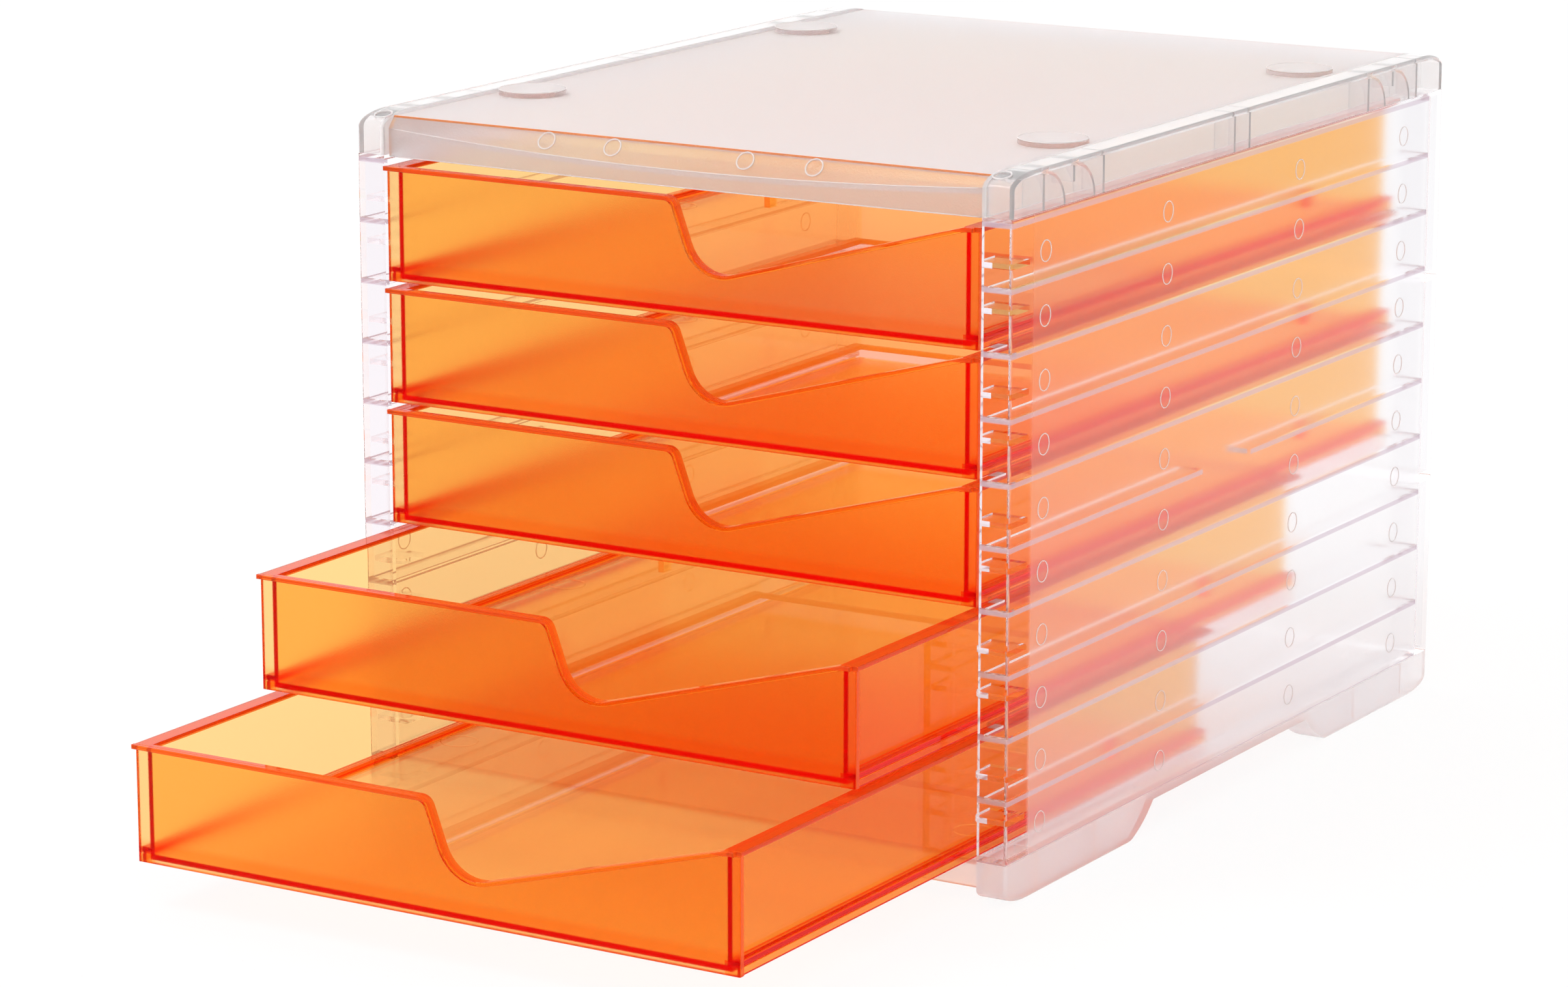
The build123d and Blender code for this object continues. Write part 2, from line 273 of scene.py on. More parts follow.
def tray_masks(tree, x, y, z, low, high):
    """Masks of a tray: front panel, floor's underside, then edges, ledge and skirt for painted red light,
    and the painted shade above the floor.
    """
    panel_y = low.y + lip_reach
    panel = add_sum(tree, "COMPARE", y, panel_y, face_reach)
    underside = add_sum(tree, "COMPARE", z, low.z + floor_low, face_reach)
    turned_away = add_sum(tree, "ABSOLUTE", face_direction(tree)[1])
    in_front = add_sum(tree, "LESS_THAN", y, panel_y + panel_depth)
    front_edge = add_sum(tree, "MULTIPLY", add_sum(tree, "LESS_THAN", turned_away, edge_turn), in_front)
    rim = add_sum(tree, "GREATER_THAN", z, high.z - rim_depth)
    at_side = add_sum(tree, "GREATER_THAN", add_sum(tree, "ABSOLUTE", x), wall_start)
    ledge = soft_band(tree, z, low.z + ledge_middle, ledge_reach, tray_fade)
    skirt = soft_band(tree, z, low.z + skirt_middle, skirt_reach, tray_fade)
    painted_shade = soft_band(tree, z, low.z + painted_shade_middle, painted_shade_reach, painted_shade_fade)
    return {
        "panel": panel,
        "underside": underside,
        "edge": add_sum(tree, "MAXIMUM", front_edge, rim),
        "ledge": add_sum(tree, "MULTIPLY", at_side, ledge),
        "skirt": add_sum(tree, "MULTIPLY", at_side, skirt),
        "painted_shade": add_sum(tree, "MULTIPLY", panel, painted_shade),
    }


print("tray masks ready")

# %% [markdown]
# ## Orange trays: the plastic
#
# One wall passes nearly all red light, about seven tenths of the green and a third of the blue, so one
# wall is pale orange and three are deep orange. Each tray stands at its own place, so each gets its own
# copy of the material with its own masks. The painted red light on the edges is partly dull as well,
# which keeps it red in any light.

# %% Tray material
tray_passes = (0.999, 0.725, 0.345)
tray_bend = 1.25
satin_roughness = 0.4
floor_roughness = 0.2
satin_grain = 0.5 * mm
satin_depth = 0.05 * mm
painted_glow_dullness = 0.4
bare = (1.0, 1.0, 1.0)
tray_tints_and_painted_light = {
    "panel": (1.0, 0.92, 1.0),
    # Painted shade on the front panel above the floor.
    "painted_shade": (1.0, 0.6, 0.4),
    # Painted light: skirt, ledge and edge get the red and deeper orange that light guided along the walls
    # leaves.
    "skirt": (1.0, 0.56, 0.24),
    "ledge": (0.85, 0.08, 0.02),
    "edge": (0.86, 0.14, 0.02),
}


def tray_plastic(name, low, high):
    """Orange plastic, satin on the plane of the front panel, with painted red light along its edges and
    painted shade above the floor.
    """
    material, tree, shader = new_plastic(name, tray_passes, bare, polished, tray_bend)
    place, (x, y, z) = place_outputs(tree)
    masks = tray_masks(tree, x, y, z, low, high)
    floor_share = floor_roughness / satin_roughness
    satin = add_sum(tree, "MULTIPLY_ADD", masks["underside"], floor_share, masks["panel"])
    roughen(tree, shader, satin, satin_roughness)
    add_grain(tree, shader, place, satin_grain, satin_depth, masks["panel"])
    colour = bare
    for mask_name, tint in tray_tints_and_painted_light.items():
        colour = tint_by(tree, colour, masks[mask_name], tint)
    tree.links.new(colour, shader.inputs["Base Color"])
    # The edges' painted red light is partly diffuse, so it shows whatever the light.
    glassy = add_sum(tree, "MULTIPLY_ADD", masks["edge"], -painted_glow_dullness, 1)
    tree.links.new(glassy, shader.inputs["Transmission Weight"])
    return material


tray_materials = {name: tray_plastic(f"orange_{name}", *tray_boxes[name]) for name in tray_names}
print("tray materials", len(tray_materials))

# %% [markdown]
# ## Ribs behind the frosted sides
#
# Each side panel has ribs inside, one every row. A rib that meets the skin leaves a dull mauve bar on it,
# and a mauve end at the front. The bars could be strips of their own, but they lie flush in the skin, so
# a mask of the rows serves: the height is counted in rows, and what is near a whole row is a bar. The
# middle rib has a gap, so there the bar has one too.

# %% Rib bars
rib_thickness = 1.8 * mm
rib_middle = lowest_tray - 1.15 * mm
bar_margin = 0.2 * mm
bar_fade = 0.4 * mm
split_row = 5
row_slack = 0.1
split_start = front_y + 144.5 * mm
split_end = split_start + 38.5 * mm
split_fade = 0.1 * mm


def rib_bars(tree, y, z):
    """A mask of the ribs' rows, with the gap in the middle one."""
    row = add_sum(tree, "DIVIDE", add_sum(tree, "SUBTRACT", z, rib_middle), row_pitch)
    nearest = add_sum(tree, "ROUND", row)
    offset = add_sum(tree, "MULTIPLY", add_sum(tree, "SUBTRACT", row, nearest), row_pitch)
    bar = soft_band(tree, offset, 0.0, rib_thickness / 2 - bar_margin, bar_fade)
    split_middle = (split_start + split_end) / 2
    in_split = soft_band(tree, y, split_middle, (split_end - split_start) / 2, split_fade)
    on_split_row = add_sum(tree, "COMPARE", nearest, split_row, row_slack)
    gap = add_sum(tree, "MULTIPLY", in_split, on_split_row)
    return add_sum(tree, "MULTIPLY", bar, add_sum(tree, "SUBTRACT", 1, gap))


print("rib rows every", round(row_pitch / mm, 2), "mm")

# %% [markdown]
# ## Frosted sides and back
#
# The side panels are clear plastic whose outer skin is frosted from just behind the front flange. Frost
# is roughness on that one face: what touches the skin from inside stays sharp, and what lies further in
# blurs, as behind a bathroom window. A little dull white, growing towards the foot, is painted light: the
# white floor's light, bounced up onto the lower frost. The front flange stays clear, with a breath of
# mauve, and the rib bars are a little fainter behind it. The back panels have the same frost on their rear
# face.

# %% Side panel and back panel material
clear_passes = (0.9975, 0.997, 0.998)
clear_tint = (0.955, 0.95, 0.957)
rib_mauve = (0.66, 0.56, 0.64)
flange_mauve = (0.93, 0.9, 0.93)
side_bend = 1.13
skin_reach = 0.3 * mm
frost_roughness = 0.3
frost_start = 13 * mm
frost_fade = 3 * mm
frost_grain = 0.6 * mm
frost_depth = 0.02 * mm
rib_dullness = 0.5
rear_bar_share = 0.85
# Painted light: the share of dull white that stands for the floor's bounce at the panel's foot.
painted_floor_bounce = 0.25
flange_depth = 3 * mm


def painted_bounce_by_height(tree, z):
    """A dull white share of painted floor light that falls evenly from the foot of the panel to none at its
    top.
    """
    fall = add_node(tree, "ShaderNodeMapRange")
    fall.inputs["From Min"].default_value = panel_low.z
    fall.inputs["From Max"].default_value = panel_high.z
    fall.inputs["To Min"].default_value = painted_floor_bounce
    fall.inputs["To Max"].default_value = 0
    tree.links.new(z, fall.inputs["Value"])
    return fall.outputs[0]


def frosted_side(name):
    """Clear plastic, rough on the outer faces but for a strip along the front, with dull rib bars and
    painted floor light towards the foot.
    """
    material, tree, shader = new_plastic(name, clear_passes, clear_tint, polished, side_bend)
    place, (x, y, z) = place_outputs(tree)
    outside = add_sum(tree, "GREATER_THAN", add_sum(tree, "ABSOLUTE", x), half_width - skin_reach)
    clear_strip = soft_band(tree, y, front_y, frost_start, frost_fade)
    frosted = add_sum(tree, "MULTIPLY", outside, add_sum(tree, "SUBTRACT", 1, clear_strip))
    roughen(tree, shader, frosted, frost_roughness)
    add_grain(tree, shader, place, frost_grain, frost_depth, frosted)
    faces_front = add_sum(tree, "LESS_THAN", face_direction(tree)[1], -edge_turn)
    bar = add_sum(tree, "MULTIPLY", rib_bars(tree, y, z), add_sum(tree, "MAXIMUM", outside, faces_front))
    fading = add_sum(tree, "MULTIPLY_ADD", clear_strip, 1 - rear_bar_share, rear_bar_share)
    bar = add_sum(tree, "MULTIPLY", bar, fading)
    flange = add_sum(tree, "MULTIPLY", faces_front, add_sum(tree, "LESS_THAN", y, front_y + flange_depth))
    colour = tint_by(tree, clear_tint, flange, flange_mauve)
    tree.links.new(tint_by(tree, colour, bar, rib_mauve), shader.inputs["Base Color"])
    # Painted light: dull white from the floor's bounce, most at the foot, on the frosted skin.
    dullness = add_sum(tree, "MULTIPLY", painted_bounce_by_height(tree, z), frosted)
    dullness = add_sum(tree, "MULTIPLY_ADD", bar, rib_dullness, dullness)
    tree.links.new(add_sum(tree, "SUBTRACT", 1, dullness), shader.inputs["Transmission Weight"])
    return material


def frosted_back(name):
    """Clear plastic that is rough and grained on its rear face."""
    material, tree, shader = new_plastic(name, clear_passes, clear_tint, polished, side_bend)
    place, (_, y, _) = place_outputs(tree)
    frosted = add_sum(tree, "GREATER_THAN", y, -front_y - skin_reach)
    roughen(tree, shader, frosted, frost_roughness)
    add_grain(tree, shader, place, frost_grain, frost_depth, frosted)
    return material


side_material = frosted_side("frosted_side")
back_material = frosted_back("frosted_back")
print("frost starts", round(frost_start / mm, 1), "mm behind the front")

# %% [markdown]
# ## Lid
#
# The lid's plate is frosted so heavily that it is nearly white. Its sloped strip and its bowed front rail
# are satin, the rail more so, and along the edge between plate and strip a thin orange line is painted
# light: the trays' orange as that edge would bend it up from below. One material with masks keeps the lid
# one moulding, as it is: the height tells the plate, the studs' tops and, with less frost, their sides,
# and the direction of a face tells the rail from the strip.

# %% Lid material
clear_bend = 1.5
lid_roughness = 0.6
strip_roughness = 0.3
rail_satin = 0.45
lid_tint = (0.83, 0.825, 0.83)
lid_whiteness = 0.5
strip_whiteness = 0.1
rail_whiteness = 0.2
stud_height = 2.2 * mm
plate_top = plate_high.z - stud_height
top_reach = 0.15 * mm
stud_side_frost = 0.4
front_turn = 0.9
lid_grain = 0.7 * mm
lid_grain_depth = 0.1 * mm
edge_line_y = front_y + 6.5 * mm
painted_glow_reach = 0.4 * mm
painted_glow_fade = 0.3 * mm
painted_glow_depth = 0.6 * mm
painted_glow_orange = (0.95, 0.25, 0.04)


def lid_masks(tree, y, z):
    """Masks of the lid: tops and, less so, the studs' sides, then the front, its rail and the painted
    orange line.
    """
    on_plate = add_sum(tree, "COMPARE", z, plate_top, top_reach)
    on_stud = add_sum(tree, "COMPARE", z, plate_high.z, top_reach)
    above_plate = add_sum(tree, "GREATER_THAN", z, plate_top + top_reach)
    frosted = add_sum(tree, "MAXIMUM", on_plate, on_stud)
    before_plate = add_sum(tree, "LESS_THAN", y, edge_line_y - top_reach)
    faces_front = add_sum(tree, "LESS_THAN", face_direction(tree)[1], -front_turn)
    # Painted light: a thin orange line of the trays' light along the plate's front edge.
    line = soft_band(tree, y, edge_line_y, painted_glow_reach, painted_glow_fade)
    upper = add_sum(tree, "GREATER_THAN", z, plate_top - painted_glow_depth)
    return {
        "top": add_sum(tree, "MAXIMUM", frosted, add_sum(tree, "MULTIPLY", above_plate, stud_side_frost)),
        "front": before_plate,
        "rail": add_sum(tree, "MULTIPLY", before_plate, faces_front),
        "line": add_sum(tree, "MULTIPLY", line, upper),
    }


def frosted_lid(name):
    """Whitish and rough on the plate and the studs, satin with a grain on the strip and rail, and a painted
    orange line of the trays' light at the plate's front.
    """
    material, tree, shader = new_plastic(name, clear_passes, lid_tint, polished, clear_bend)
    place, (_, y, z) = place_outputs(tree)
    masks = lid_masks(tree, y, z)
    rough_top = add_sum(tree, "MULTIPLY", masks["top"], lid_roughness)
    rough_front = add_sum(tree, "MULTIPLY", masks["front"], strip_roughness)
    rough_front = add_sum(tree, "MULTIPLY_ADD", masks["rail"], rail_satin - strip_roughness, rough_front)
    tree.links.new(add_sum(tree, "MAXIMUM", rough_top, rough_front), shader.inputs["Roughness"])
    add_grain(tree, shader, place, lid_grain, lid_grain_depth, masks["front"])
    tree.links.new(tint_by(tree, lid_tint, masks["line"], painted_glow_orange), shader.inputs["Base Color"])
    glassy = add_sum(tree, "MULTIPLY_ADD", masks["top"], -lid_whiteness, 1)
    glassy = add_sum(tree, "MULTIPLY_ADD", masks["front"], -strip_whiteness, glassy)
    glassy = add_sum(tree, "MULTIPLY_ADD", masks["rail"], strip_whiteness - rail_whiteness, glassy)
    tree.links.new(glassy, shader.inputs["Transmission Weight"])
    return material


lid_material = frosted_lid("frosted_lid")
print("lid plate top at", round(plate_top / mm, 1), "mm")

# %% [markdown]
# ## Rails and base
#
# The lid rails are clear hollow beams with a slight haze, a frosted inner wall and the faint, wide swirl
# that clear mouldings have. The base and its rails are cloudy all over. Both could share the lid's
# material, but they would then need masks of their own in it, and a small separate material is easier to
# read.

# %% Rail and base materials
rail_tint = (0.985, 0.975, 0.975)
rail_bend = 1.5
rail_haze = 0.18
rail_wall = 1.6 * mm
rail_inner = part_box("right_lid_rail")[0].x + rail_wall
inner_dullness = 0.15
rail_roughness = 0.55
swirl_size = 12 * mm
swirl_depth = 0.05 * mm
swirl_strength = 0.3
base_roughness = 0.45
base_grain_strength = 0.5


def clear_rail(name):
    """Polished clear plastic with a slight haze, and an inner wall that is frosted."""
    material, tree, shader = new_plastic(name, clear_passes, rail_tint, polished, rail_bend)
    place, (x, _, _) = place_outputs(tree)
    inner = add_sum(tree, "LESS_THAN", add_sum(tree, "ABSOLUTE", x), rail_inner)
    roughen(tree, shader, inner, rail_roughness)
    glassy = add_sum(tree, "MULTIPLY_ADD", inner, -inner_dullness, 1 - rail_haze)
    tree.links.new(glassy, shader.inputs["Transmission Weight"])
    add_grain(tree, shader, place, swirl_size, swirl_depth, swirl_strength)
    return material


def cloudy_base(name):
    """Clear plastic with a fine satin all over."""
    material, tree, shader = new_plastic(name, clear_passes, clear_tint, base_roughness, clear_bend)
    place, _ = place_outputs(tree)
    add_grain(tree, shader, place, frost_grain, frost_depth, base_grain_strength)
    return material


rail_material = clear_rail("clear_rail")
base_material = cloudy_base("clear_base")
print("rail inner wall within", round(rail_inner / mm, 1), "mm of the middle")

# %% [markdown]
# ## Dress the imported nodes
#
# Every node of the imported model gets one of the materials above. The meshes stay as they are: the shapes
# are the part's own, and only their finish is set here.

# %% Materials on the nodes
sides = (("left", -1), ("right", 1))
node_materials = {
    "lid_plate": lid_material,
    "base_plate": base_material,
    **{f"{side}_lid_rail": rail_material for side, _ in sides},
    **{f"{side}_base_rail": base_material for side, _ in sides},
    **{f"{side}_side_panel": side_material for side, _ in sides},
    **{f"{level}_back_panel": back_material for level in ("lower", "middle", "upper")},
    **tray_materials,
}
for name, material in node_materials.items():
    nodes[name].data.materials.clear()
    nodes[name].data.materials.append(material)
print("dressed", len(node_materials), "of", len(nodes), "nodes")

# %% [markdown]
# ## Moulding marks
#
# A mould leaves marks: rings where pins pushed the panels out, small rings on the lid, and rings on the
# tray floors. They could be bump in a material, but a raised bead catches light at its edge. All of them
# are turned shapes, so one function serves: a profile of radius and height is carried round an axis, for
# all the places at once, and whole arrays go into the mesh.

# %% Turned pieces
steepest = 0.9


def turned(centres, normals, profile, steps):
    """Points of a profile turned about each centre's normal.
    With a and b two directions across the normal n, a point is
    centre + radius * (cos(t) * a + sin(t) * b) + height * n."""
    centres = np.array(centres, float)
    n = np.array(normals, float)
    n = n / np.linalg.norm(n, axis=1, keepdims=True)
    spare = np.where(np.abs(n[:, :1]) < steepest, [[1.0, 0, 0]], [[0, 1.0, 0]])
    a = np.cross(n, spare)
    a = a / np.linalg.norm(a, axis=1, keepdims=True)
    b = np.cross(n, a)
    t = np.linspace(0, 2 * np.pi, steps, endpoint=False)
    radius, height = np.array(profile, float).T
    around = np.cos(t)[:, None] * a[:, None, :] + np.sin(t)[:, None] * b[:, None, :]
    return (
        centres[:, None, None, :]
        + radius[None, :, None, None] * around[:, None, :, :]
        + height[None, :, None, None] * n[:, None, None, :]
    )


print("turned shapes ready")

# %% [markdown]
# ## From points to a piece
#
# Every new piece is a set of patches, each a grid of points in rows and columns. The faces join each
# point to its neighbours, and where a grid wraps, the first row or column is used again at the end. A
# wrapped grid has no seam, and points that fall together at a tip are merged.

# %% Patches into a mesh
merge_distance = 0.001 * mm


def put_piece(name, patches, wrap_rows, material, body):
    """One object from patches of points in rows and columns. The columns go round, and so do the rows if
    they wrap. Doubled points at tips are merged, and the faces are turned outwards."""
    count, rows, columns, _ = patches.shape
    index = np.arange(count * rows * columns).reshape(count, rows, columns)
    index = np.concatenate([index, index[:, :, :1]], axis=2)
    if wrap_rows:
        index = np.concatenate([index, index[:, :1]], axis=1)
    corners = [index[:, :-1, :-1], index[:, 1:, :-1], index[:, 1:, 1:], index[:, :-1, 1:]]
    faces = np.stack(corners, axis=-1).reshape(-1, 4)
    mesh = bpy.data.meshes.new(name)
    mesh.from_pydata(patches.reshape(-1, 3).tolist(), [], faces.tolist())
    shape = bmesh.new()
    shape.from_mesh(mesh)
    bmesh.ops.remove_doubles(shape, verts=shape.verts, dist=merge_distance)
    bmesh.ops.recalc_face_normals(shape, faces=shape.faces)
    shape.to_mesh(mesh)
    shape.free()
    mesh.polygons.foreach_set("use_smooth", np.ones(len(mesh.polygons), bool))
    mesh.materials.append(material)
    piece = bpy.data.objects.new(name, mesh)
    scene.collection.objects.link(piece)
    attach(piece, body)
    print(name, len(mesh.polygons), "faces")
    return piece


print("pieces merge points within", merge_distance / mm, "mm")

# %% [markdown]
# ## Ejector rings on the sides
#
# Four columns of thin rings stand on each outer skin, one ring in each row, where pins pushed the panel
# out of its mould. Each is a bead: a small circle carried round a larger one. Half of its light is dull
# white, a painted highlight for the light that a polished bead catches, because a fully clear bead would
# vanish on the frost.

# %% Rings on the side panels
mark_passes = (0.99, 0.99, 0.99)
painted_highlight_tint = (0.95, 0.92, 0.92)
mark_roughness = 0.3
mark_clearness = 0.5
mark_finish = (mark_passes, painted_highlight_tint, mark_roughness, clear_bend)
# The dull white half of this plastic is a painted highlight: the light that a polished bead would catch.
mark_material, _, mark_shader = new_plastic("mark_with_painted_highlight", *mark_finish)
mark_shader.inputs["Transmission Weight"].default_value = mark_clearness
ring_radius = 3.7 * mm
ring_bead = 0.2 * mm
ring_steps = 40
bead_steps = 8
lift = 0.02 * mm
ring_distances = (23.3 * mm, 113.4 * mm, 219.4 * mm, 310 * mm)
first_row = lowest_tray + 9.55 * mm
row_count = 2 * len(tray_names)


def bead_profile(radius, bead):
    """A round bead as a closed profile: a small circle that stands on the face at a radius."""
    t = np.linspace(0, 2 * np.pi, bead_steps, endpoint=False)
    return np.stack([radius + bead * np.cos(t), bead + lift + bead * np.sin(t)], axis=1)


def side_places(distances, rows):
    """Places on the right-hand outer skin, from distances behind the front and row numbers."""
    y, row = np.meshgrid(np.array(distances) + front_y, rows)
    z = first_row + row * row_pitch
    x = np.full(y.shape, half_width)
    return np.stack([x, y, z], axis=-1).reshape(-1, 3)


ring_places = side_places(ring_distances, np.arange(row_count))
for side, sign in sides:
    outwards = [(sign, 0, 0)] * len(ring_places)
    rings = turned(ring_places * [sign, 1, 1], outwards, bead_profile(ring_radius, ring_bead), ring_steps)
    put_piece(f"{side}_ejector_rings", rings, True, mark_material, "housing")

# %% [markdown]
# ## Rings on the lid
#
# Four small rings lie on the sloped strip and one on each corner block, and each stud has a rim bead, pale
# with the same painted highlight.
# The strip slopes and bows, so a ring's place is found by dropping a plumb line on the model: that gives
# the point and the direction of the face, and the ring lies flat on it.

# %% Strip rings and stud rims
lens_radius = 3.3 * mm
lens_bead = 0.3 * mm
lens_steps = 36
strip_lens_x = (-55.2 * mm, -27.4 * mm, 27.4 * mm, 55.2 * mm)
strip_lens_y = front_y + 4 * mm
block_lens_x = 127.6 * mm
block_lens_y = front_y + 6 * mm
stud_radius = 12.47 * mm
stud_bead = 0.16 * mm
stud_steps = 72
stud_rim_drop = 0.25 * mm
stud_x = 109.5 * mm
stud_y = 97.6 * mm
upwards = (0, 0, 1)
plumb_height = 1.0


def dropped_on(node, x, y):
    """Where a plumb line at x and y meets a node from above, and the face's direction there."""
    hit, place, normal, _ = nodes[node].ray_cast(Vector((x, y, plumb_height)), -Vector(upwards))
    if not hit:
        raise ValueError(f"nothing of {node} under {x}, {y}")
    return place, normal


lens_spots = [dropped_on("lid_plate", x, strip_lens_y) for x in strip_lens_x]
lens_spots += [dropped_on(f"{side}_lid_rail", sign * block_lens_x, block_lens_y) for side, sign in sides]
lens_places, lens_normals = zip(*lens_spots)
lens_rings = turned(lens_places, lens_normals, bead_profile(lens_radius, lens_bead), lens_steps)
put_piece("lid_lens_rings", lens_rings, True, mark_material, "housing")

rim_z = plate_high.z - stud_rim_drop
stud_places = [(x, y, rim_z) for x in (-stud_x, stud_x) for y in (-stud_y, stud_y)]
rim_profile = bead_profile(stud_radius, stud_bead)
stud_rims = turned(stud_places, [upwards] * len(stud_places), rim_profile, stud_steps)
put_piece("stud_rims", stud_rims, True, mark_material, "housing")

# %% [markdown]
# ## Beads along the lid's front
#
# The bowed front rail has two edges that catch a thin line of light: its shoulder, where the sloped strip
# starts, and its foot. A bevel on the imported model is not wanted, since its mesh stays as it is, so each
# edge gets a thin rod that follows the same bow, in the marks' pale plastic, whose dull white share is a
# painted highlight.

# %% Front beads
bow = 2.6 * mm
bow_margin = 0.4 * mm
rise_at_middle = 8.2 * mm
rise_at_end = 4.1 * mm
edge_bead = 0.2 * mm
bead_stations = 61
bead_sides = 10


def edge_beads():
    """Two thin rods along the bowed rail: one on its shoulder and one at its foot.
    With u from -1 to 1 across the lid, the rail stands back by bow * u * u, and the shoulder lies below the
    plate by a rise that goes from the middle's to the end's as u * u. Each rod's ends run to a point."""
    u = np.linspace(-1, 1, bead_stations)
    x = plate_high.x * u
    y = front_y + bow_margin + bow * u ** 2 - edge_bead - lift
    shoulder = plate_top - rise_at_middle + (rise_at_middle - rise_at_end) * u ** 2
    foot = np.full(u.shape, plate_low.z + edge_bead)
    radius = np.where(np.abs(u) < 1, edge_bead, 0)
    t = np.linspace(0, 2 * np.pi, bead_sides, endpoint=False)
    along = np.repeat(x[:, None], bead_sides, axis=1)
    across = y[:, None] + radius[:, None] * np.cos(t)
    rods = [
        np.stack([along, across, height[:, None] + radius[:, None] * np.sin(t)], axis=-1)
        for height in (shoulder, foot)
    ]
    return np.stack(rods)


put_piece("lid_edge_beads", edge_beads(), False, mark_material, "housing")

# %% [markdown]
# ## Rings on the tray floors
#
# Each tray's floor has a round mark on either side, about halfway back. It is the same kind of bead, in
# the tray's own plastic, and it rides on its tray, so that it slides out with it.

# %% Floor rings
floor_ring_radius = 7 * mm
floor_ring_bead = 0.15 * mm
floor_ring_steps = 48
floor_ring_x = 109 * mm
floor_ring_distance = 174 * mm
floor_ring_profile = bead_profile(floor_ring_radius, floor_ring_bead)

for name in tray_names:
    low = tray_boxes[name][0]
    ring_y = low.y + lip_reach + floor_ring_distance
    spots = [(x, ring_y, low.z + floor_high) for x in (-floor_ring_x, floor_ring_x)]
    rings = turned(spots, [upwards] * len(spots), floor_ring_profile, floor_ring_steps)
    put_piece(f"{name}_floor_rings", rings, True, tray_materials[name], name)

# %% [markdown]
# ## Floor
#
# The box stands on a white sweep. A floor that only reflects light would look grey, and one that only
# glows would show no shadow. This one does both: rays from the camera see mostly the glow, rays that come
# through the plastic see half of it, and all other light is scattered, so the box still stands on a soft
# shadow.

# %% White floor
floor_reach = 6.0
floor_lines = 5
floor_drop = 0.05 * mm
floor_white = (0.96, 0.96, 0.96)
floor_glow = 0.9
through_glow = 0.5


def white_floor(name):
    """White diffuse, with a share of glow for rays that look at it."""
    material = bpy.data.materials.new(name)
    material.use_nodes = True
    tree = material.node_tree
    tree.nodes.remove(tree.nodes["Principled BSDF"])
    paint = add_node(tree, "ShaderNodeBsdfDiffuse")
    paint.inputs["Color"].default_value = (*floor_white, 1)
    glow = add_node(tree, "ShaderNodeEmission")
    path = add_node(tree, "ShaderNodeLightPath")
    through = add_sum(tree, "MAXIMUM", path.outputs["Is Glossy Ray"], path.outputs["Is Transmission Ray"])
    through_share = add_sum(tree, "MULTIPLY", through, through_glow)
    camera_share = add_sum(tree, "MULTIPLY", path.outputs["Is Camera Ray"], floor_glow)
    mix = add_node(tree, "ShaderNodeMixShader")
    tree.links.new(add_sum(tree, "MAXIMUM", camera_share, through_share), mix.inputs[0])
    tree.links.new(paint.outputs[0], mix.inputs[1])
    tree.links.new(glow.outputs[0], mix.inputs[2])
    tree.links.new(mix.outputs[0], tree.nodes["Material Output"].inputs["Surface"])
    return material


def put_floor(name):
    """A flat square grid just under the feet: x and y run over the same even steps, and z is constant."""
    line = np.linspace(-floor_reach, floor_reach, floor_lines)
    x, y = np.meshgrid(line, line)
    grid = np.stack([x, y, np.full(x.shape, cad_low.z - floor_drop)], axis=-1)
    index = np.arange(x.size).reshape(x.shape)
    corners = [index[:-1, :-1], index[:-1, 1:], index[1:, 1:], index[1:, :-1]]
    faces = np.stack(corners, axis=-1).reshape(-1, 4)
    mesh = bpy.data.meshes.new(name)
    mesh.from_pydata(grid.reshape(-1, 3).tolist(), [], faces.tolist())
    mesh.materials.append(white_floor("white_floor"))
    floor = bpy.data.objects.new(name, mesh)
    scene.collection.objects.link(floor)
    return floor


put_floor("floor")
print("floor", 2 * floor_reach, "m across")

# %% [markdown]
# ## Studio world
#
# The studio is white all round, but for the dimmer side that the photographer stands on. Clear plastic
# needs that side: with white everywhere it has nothing darker to bend into its edges, and its faces turn
# milky. Rays from the camera and from dull faces see white on that side too, so the background and the
# frost stay bright.

# %% World light
camera_azimuth = math.radians(31.457)
dim_height = 0.1
dim_side = Vector((math.sin(camera_azimuth), -math.cos(camera_azimuth), dim_height)).normalized()
white_level = 1.2
dim_level = 0.3
dim_end = 0.8


def studio_world():
    """White all round, falling smoothly to a dimmer level towards the dim side."""
    world = bpy.data.worlds.new("white_studio")
    scene.world = world
    world.use_nodes = True
    tree = world.node_tree
    background = tree.nodes["Background"]
    background.inputs["Color"].default_value = (1, 1, 1, 1)
    coordinates = add_node(tree, "ShaderNodeTexCoord")
    towards = add_node(tree, "ShaderNodeVectorMath", operation="DOT_PRODUCT")
    towards.inputs[1].default_value = dim_side
    tree.links.new(coordinates.outputs["Generated"], towards.inputs[0])
    level = add_node(tree, "ShaderNodeMapRange", interpolation_type="SMOOTHSTEP")
    level.inputs["From Min"].default_value = 0
    level.inputs["From Max"].default_value = dim_end
    level.inputs["To Min"].default_value = white_level
    level.inputs["To Max"].default_value = dim_level
    tree.links.new(towards.outputs["Value"], level.inputs["Value"])
    path = add_node(tree, "ShaderNodeLightPath")
    bright = add_sum(tree, "MAXIMUM", path.outputs["Is Camera Ray"], path.outputs["Is Diffuse Ray"])
    tree.links.new(add_sum(tree, "MAXIMUM", level.outputs[0], bright), background.inputs["Strength"])
    return world


studio_world()
print("dim side", [round(v, 2) for v in dim_side])

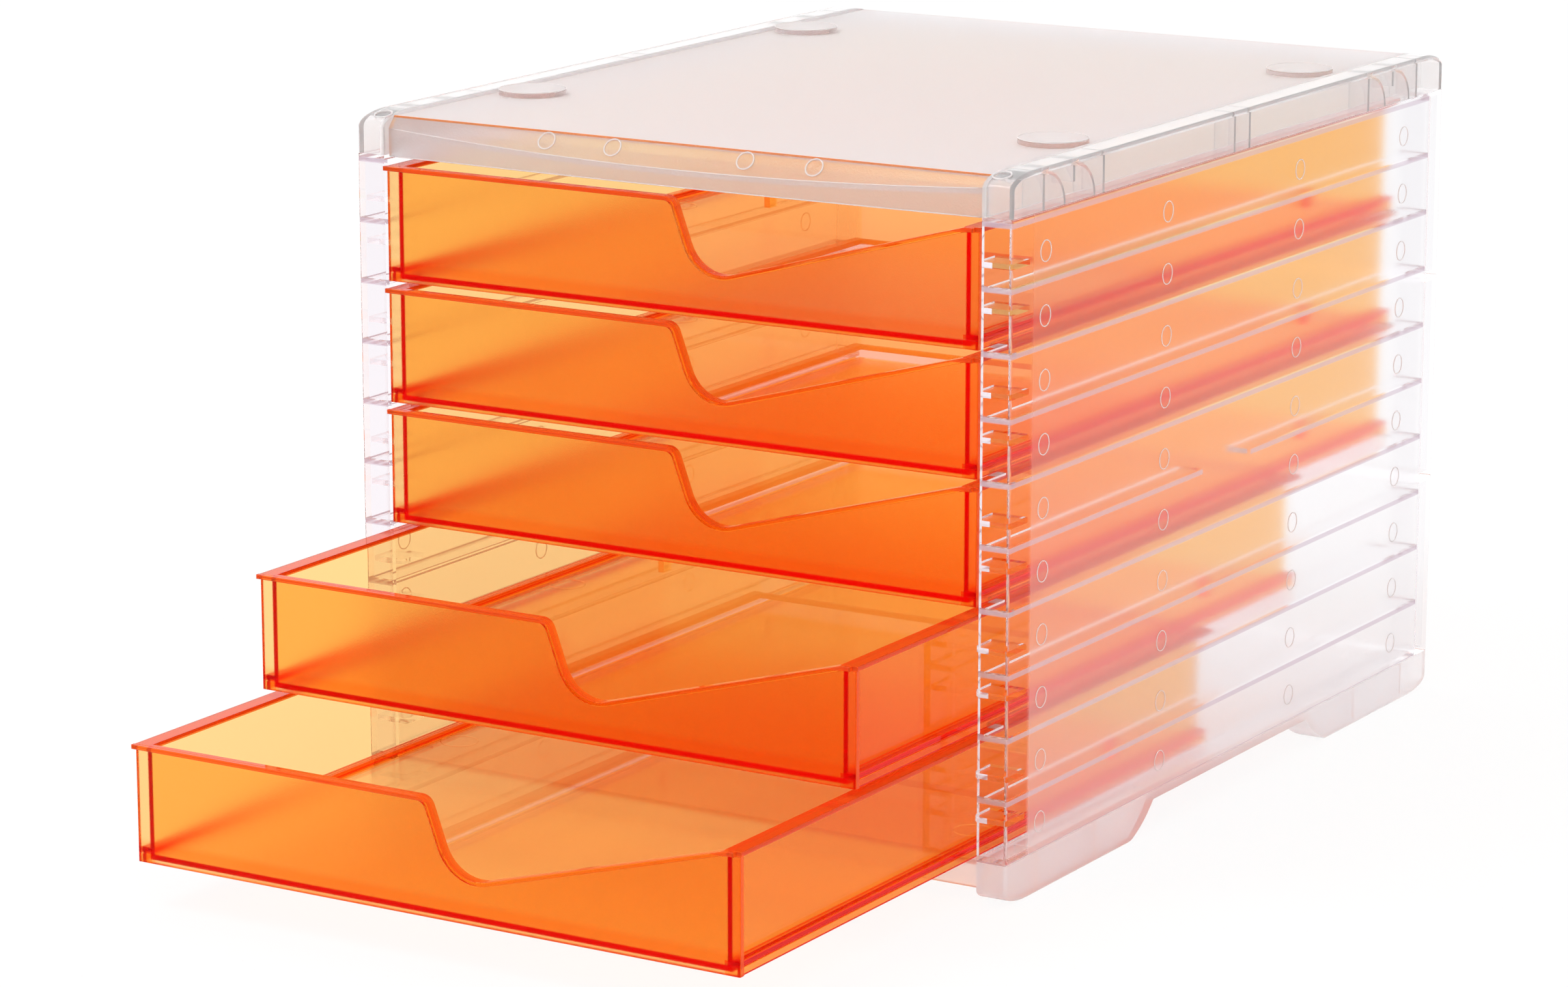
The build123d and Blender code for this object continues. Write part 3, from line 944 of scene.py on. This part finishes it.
# %% [markdown]
# ## Lamp
#
# One soft lamp at the upper left gives the studs, beads and rims a small highlight and the box a faint
# shadow to the right. The world does nearly all of the lighting, so the lamp stays weak.

# %% Key lamp
lamp_place = Vector((-0.7, -0.9, 1.7))
lamp_size = 0.7
lamp_power = 10


def put_lamp(name):
    """A square lamp that faces the middle of the box."""
    lamp = bpy.data.lights.new(name, "AREA")
    lamp.shape = "SQUARE"
    lamp.size = lamp_size
    lamp.energy = lamp_power
    holder = bpy.data.objects.new(name, lamp)
    holder.location = lamp_place
    aim = (cad_low + cad_high) / 2 - lamp_place
    holder.rotation_euler = aim.to_track_quat("-Z", "Y").to_euler()
    scene.collection.objects.link(holder)
    return holder


put_lamp("key_lamp")
print("lamp of", lamp_power, "W")

# %% [markdown]
# ## Camera
#
# The photograph was taken from the right of the front, a little above the lid, with a long lens. The
# place, the angles and the lens below were found by fitting the box's corners to where the photograph
# shows them.

# %% Camera
image_width = 2408
focal_pixels = 7981.3
sensor_width = 36.0
camera_place = (964.35 * mm, -1674.68 * mm, 543.79 * mm)
camera_pitch = math.radians(13.029)
farthest = 30

view = bpy.data.cameras.new("camera")
view.sensor_width = sensor_width
view.lens = sensor_width * focal_pixels / image_width
view.clip_end = farthest
camera = bpy.data.objects.new("camera", view)
camera.location = camera_place
camera.rotation_euler = (math.pi / 2 - camera_pitch, 0, camera_azimuth)
scene.collection.objects.link(camera)
scene.camera = camera
scene.view_settings.view_transform = "Standard"
print("lens", round(view.lens, 1), "mm")

# %% [markdown]
# ## Light paths
#
# A ray from the camera may cross the side, two trays and the far side before it reaches the white floor,
# with two faces for each wall. The paths are made long enough for that, or the inside would turn black.
# Blurring of glossy light is off, because it would grey whatever lies behind a frosted face.

# %% Path lengths
path_length = 96
dull_length = 4
scene.cycles.max_bounces = path_length
scene.cycles.transmission_bounces = path_length
scene.cycles.glossy_bounces = path_length
scene.cycles.diffuse_bounces = dull_length
scene.cycles.volume_bounces = 0
scene.cycles.blur_glossy = 0.0
print("paths up to", path_length, "bounces")
